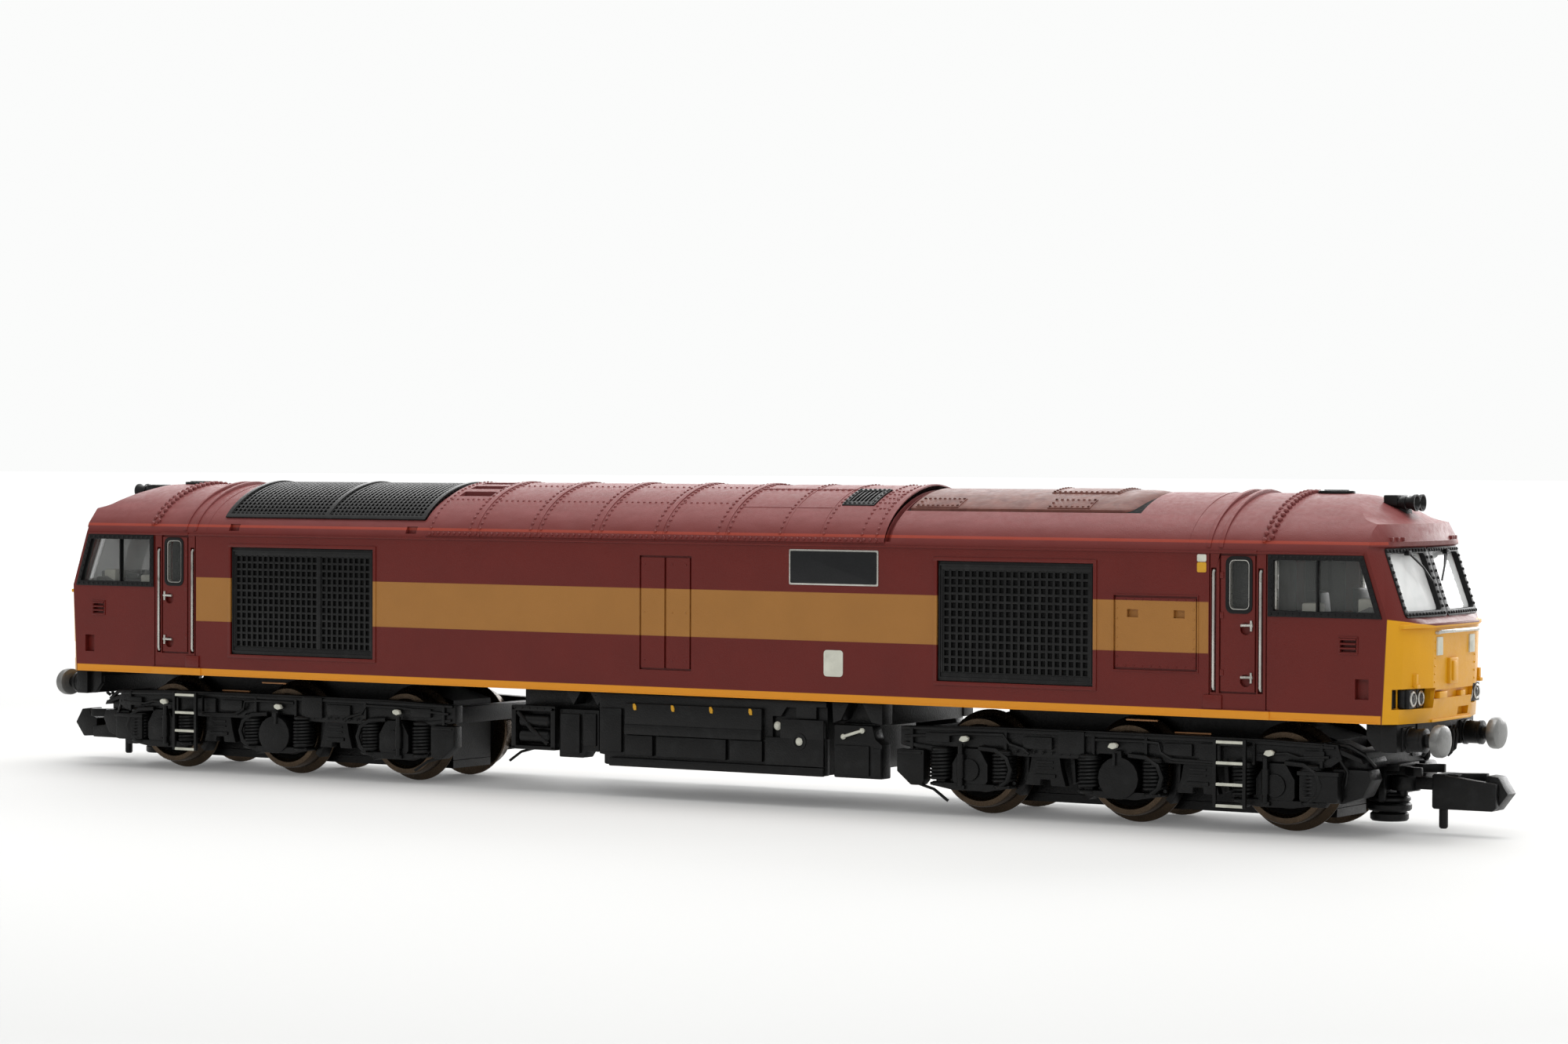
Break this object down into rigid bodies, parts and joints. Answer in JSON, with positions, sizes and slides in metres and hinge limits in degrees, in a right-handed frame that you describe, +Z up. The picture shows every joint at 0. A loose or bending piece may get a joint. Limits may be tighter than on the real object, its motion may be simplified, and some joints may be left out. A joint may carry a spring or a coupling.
{
  "type": "model diesel locomotive",
  "caption": "N gauge model diesel locomotive: two-cab box body on two swivelling six-wheel bogies, motor-driven through worms and gears, with hook couplers and buffers.",
  "frame": {"origin": "middle of the locomotive's length and width, at the lowest point of the wheel flanges", "axes": "+X along the locomotive towards the end with the exhaust silencer, +Y across it to the far side, +Z up"},
  "size_m": [0.1526, 0.0182, 0.0277],
  "materials": {
    "body_paint": "satin maroon paint with gold band and yellow ends",
    "weathered_roof": "weathered brown",
    "black_plastic": "satin black",
    "clear_glazing": "clear",
    "cab_grey": "matte grey",
    "die_cast": "raw die casting",
    "underframe_black": "satin black",
    "buffer_metal": "satin metal",
    "motor_steel": "plain steel",
    "brass": "turned brass",
    "wheel_metal": "blackened nickel silver",
    "circuit_board": "green board",
    "nylon": "natural nylon"
  },
  "bodies": {
    "chassis": {"body_shell": "body_paint", "roof_grille": "black_plastic", "exhaust_silencer": "weathered_roof", "roof_vent": "black_plastic", "chassis_block": "die_cast", "underframe_tank": "underframe_black", "motor_can": "motor_steel", "circuit_board": "circuit_board", "side_grille_1_near": "black_plastic", "side_grille_1_far": "black_plastic", "side_grille_2_near": "black_plastic", "side_grille_2_far": "black_plastic", "cab_glazing_1": "clear_glazing", "cab_interior_1": "cab_grey", "horn_1": "black_plastic", "roof_pod_1": "black_plastic", "buffer_beam_1": "underframe_black", "buffer_1_near": "buffer_metal", "buffer_1_far": "buffer_metal", "cab_glazing_2": "clear_glazing", "cab_interior_2": "cab_grey", "horn_2": "black_plastic", "roof_pod_2": "black_plastic", "buffer_beam_2": "underframe_black", "buffer_2_near": "buffer_metal", "buffer_2_far": "buffer_metal"},
    "armature": {"motor_armature": "motor_steel", "flywheel_1": "brass", "flywheel_2": "brass"},
    "drive_shaft_1": {"drive_shaft_1": "nylon"},
    "bogie_1": {"bogie_frame_1": "underframe_black", "gear_tower_1": "black_plastic", "keeper_plate_1": "black_plastic", "ladder_1_near": "underframe_black", "ladder_1_far": "underframe_black"},
    "coupler_1": {"coupler_1": "underframe_black"},
    "worm_1": {"worm_1": "brass"},
    "worm_gear_1": {"worm_gear_1": "nylon"},
    "idler_gear_1_inner": {"idler_gear_1_inner": "nylon"},
    "idler_gear_1_outer": {"idler_gear_1_outer": "nylon"},
    "wheelset_1_inner": {"wheelset_1_inner": "wheel_metal"},
    "wheelset_1_middle": {"wheelset_1_middle": "wheel_metal"},
    "wheelset_1_outer": {"wheelset_1_outer": "wheel_metal"},
    "drive_shaft_2": {"drive_shaft_2": "nylon"},
    "bogie_2": {"bogie_frame_2": "underframe_black", "gear_tower_2": "black_plastic", "keeper_plate_2": "black_plastic", "ladder_2_near": "underframe_black", "ladder_2_far": "underframe_black"},
    "coupler_2": {"coupler_2": "underframe_black"},
    "worm_2": {"worm_2": "brass"},
    "worm_gear_2": {"worm_gear_2": "nylon"},
    "idler_gear_2_inner": {"idler_gear_2_inner": "nylon"},
    "idler_gear_2_outer": {"idler_gear_2_outer": "nylon"},
    "wheelset_2_inner": {"wheelset_2_inner": "wheel_metal"},
    "wheelset_2_middle": {"wheelset_2_middle": "wheel_metal"},
    "wheelset_2_outer": {"wheelset_2_outer": "wheel_metal"}
  },
  "joints": [
    {"name": "motor_spin", "type": "hinge", "parent": "chassis", "child": "armature", "pos_m": [0, 0, 0.01557], "axis": [1, 0, 0], "continuous": true},
    {"name": "drive_shaft_1_spin", "type": "hinge", "parent": "chassis", "child": "drive_shaft_1", "pos_m": [0.03, 0, 0.01557], "axis": [1, 0, 0], "continuous": true},
    {"name": "bogie_1_swivel", "type": "hinge", "parent": "chassis", "child": "bogie_1", "pos_m": [0.04422, 0, 0.009], "axis": [0, 0, 1], "range_deg": [-8, 8]},
    {"name": "coupler_1_swing", "type": "hinge", "parent": "bogie_1", "child": "coupler_1", "pos_m": [0.06582, 0, 0.004], "axis": [0, 0, 1], "range_deg": [-8, 8], "stiffness_Nm_per_rad": 0.0001},
    {"name": "worm_1_spin", "type": "hinge", "parent": "bogie_1", "child": "worm_1", "pos_m": [0.04422, 0, 0.01557], "axis": [1, 0, 0], "continuous": true},
    {"name": "worm_gear_1_spin", "type": "hinge", "parent": "bogie_1", "child": "worm_gear_1", "pos_m": [0.04422, 0, 0.01107], "axis": [0, 1, 0], "continuous": true},
    {"name": "idler_gear_1_inner_spin", "type": "hinge", "parent": "bogie_1", "child": "idler_gear_1_inner", "pos_m": [0.03725, 0, 0.00716], "axis": [0, 1, 0], "continuous": true},
    {"name": "idler_gear_1_outer_spin", "type": "hinge", "parent": "bogie_1", "child": "idler_gear_1_outer", "pos_m": [0.05119, 0, 0.00716], "axis": [0, 1, 0], "continuous": true},
    {"name": "wheelset_1_inner_spin", "type": "hinge", "parent": "bogie_1", "child": "wheelset_1_inner", "pos_m": [0.03027, 0, 0.0044], "axis": [0, 1, 0], "continuous": true},
    {"name": "wheelset_1_middle_spin", "type": "hinge", "parent": "bogie_1", "child": "wheelset_1_middle", "pos_m": [0.04422, 0, 0.0044], "axis": [0, 1, 0], "continuous": true},
    {"name": "wheelset_1_outer_spin", "type": "hinge", "parent": "bogie_1", "child": "wheelset_1_outer", "pos_m": [0.05817, 0, 0.0044], "axis": [0, 1, 0], "continuous": true},
    {"name": "drive_shaft_2_spin", "type": "hinge", "parent": "chassis", "child": "drive_shaft_2", "pos_m": [-0.03, 0, 0.01557], "axis": [1, 0, 0], "continuous": true},
    {"name": "bogie_2_swivel", "type": "hinge", "parent": "chassis", "child": "bogie_2", "pos_m": [-0.04422, 0, 0.009], "axis": [0, 0, 1], "range_deg": [-8, 8]},
    {"name": "coupler_2_swing", "type": "hinge", "parent": "bogie_2", "child": "coupler_2", "pos_m": [-0.06582, 0, 0.004], "axis": [0, 0, 1], "range_deg": [-8, 8], "stiffness_Nm_per_rad": 0.0001},
    {"name": "worm_2_spin", "type": "hinge", "parent": "bogie_2", "child": "worm_2", "pos_m": [-0.04422, 0, 0.01557], "axis": [1, 0, 0], "continuous": true},
    {"name": "worm_gear_2_spin", "type": "hinge", "parent": "bogie_2", "child": "worm_gear_2", "pos_m": [-0.04422, 0, 0.01107], "axis": [0, 1, 0], "continuous": true},
    {"name": "idler_gear_2_inner_spin", "type": "hinge", "parent": "bogie_2", "child": "idler_gear_2_inner", "pos_m": [-0.03725, 0, 0.00716], "axis": [0, 1, 0], "continuous": true},
    {"name": "idler_gear_2_outer_spin", "type": "hinge", "parent": "bogie_2", "child": "idler_gear_2_outer", "pos_m": [-0.05119, 0, 0.00716], "axis": [0, 1, 0], "continuous": true},
    {"name": "wheelset_2_inner_spin", "type": "hinge", "parent": "bogie_2", "child": "wheelset_2_inner", "pos_m": [-0.03027, 0, 0.0044], "axis": [0, 1, 0], "continuous": true},
    {"name": "wheelset_2_middle_spin", "type": "hinge", "parent": "bogie_2", "child": "wheelset_2_middle", "pos_m": [-0.04422, 0, 0.0044], "axis": [0, 1, 0], "continuous": true},
    {"name": "wheelset_2_outer_spin", "type": "hinge", "parent": "bogie_2", "child": "wheelset_2_outer", "pos_m": [-0.05817, 0, 0.0044], "axis": [0, 1, 0], "continuous": true}
  ],
  "couplings": [
    {"joint": "drive_shaft_1_spin", "follows": "motor_spin", "ratio": 1},
    {"joint": "worm_1_spin", "follows": "motor_spin", "ratio": 1},
    {"joint": "worm_gear_1_spin", "follows": "motor_spin", "ratio": -0.083333},
    {"joint": "idler_gear_1_inner_spin", "follows": "motor_spin", "ratio": 0.05},
    {"joint": "idler_gear_1_outer_spin", "follows": "motor_spin", "ratio": 0.05},
    {"joint": "wheelset_1_inner_spin", "follows": "motor_spin", "ratio": -0.1},
    {"joint": "wheelset_1_middle_spin", "follows": "motor_spin", "ratio": -0.1},
    {"joint": "wheelset_1_outer_spin", "follows": "motor_spin", "ratio": -0.1},
    {"joint": "drive_shaft_2_spin", "follows": "motor_spin", "ratio": 1},
    {"joint": "worm_2_spin", "follows": "motor_spin", "ratio": 1},
    {"joint": "worm_gear_2_spin", "follows": "motor_spin", "ratio": -0.083333},
    {"joint": "idler_gear_2_inner_spin", "follows": "motor_spin", "ratio": 0.05},
    {"joint": "idler_gear_2_outer_spin", "follows": "motor_spin", "ratio": 0.05},
    {"joint": "wheelset_2_inner_spin", "follows": "motor_spin", "ratio": -0.1},
    {"joint": "wheelset_2_middle_spin", "follows": "motor_spin", "ratio": -0.1},
    {"joint": "wheelset_2_outer_spin", "follows": "motor_spin", "ratio": -0.1}
  ]
}
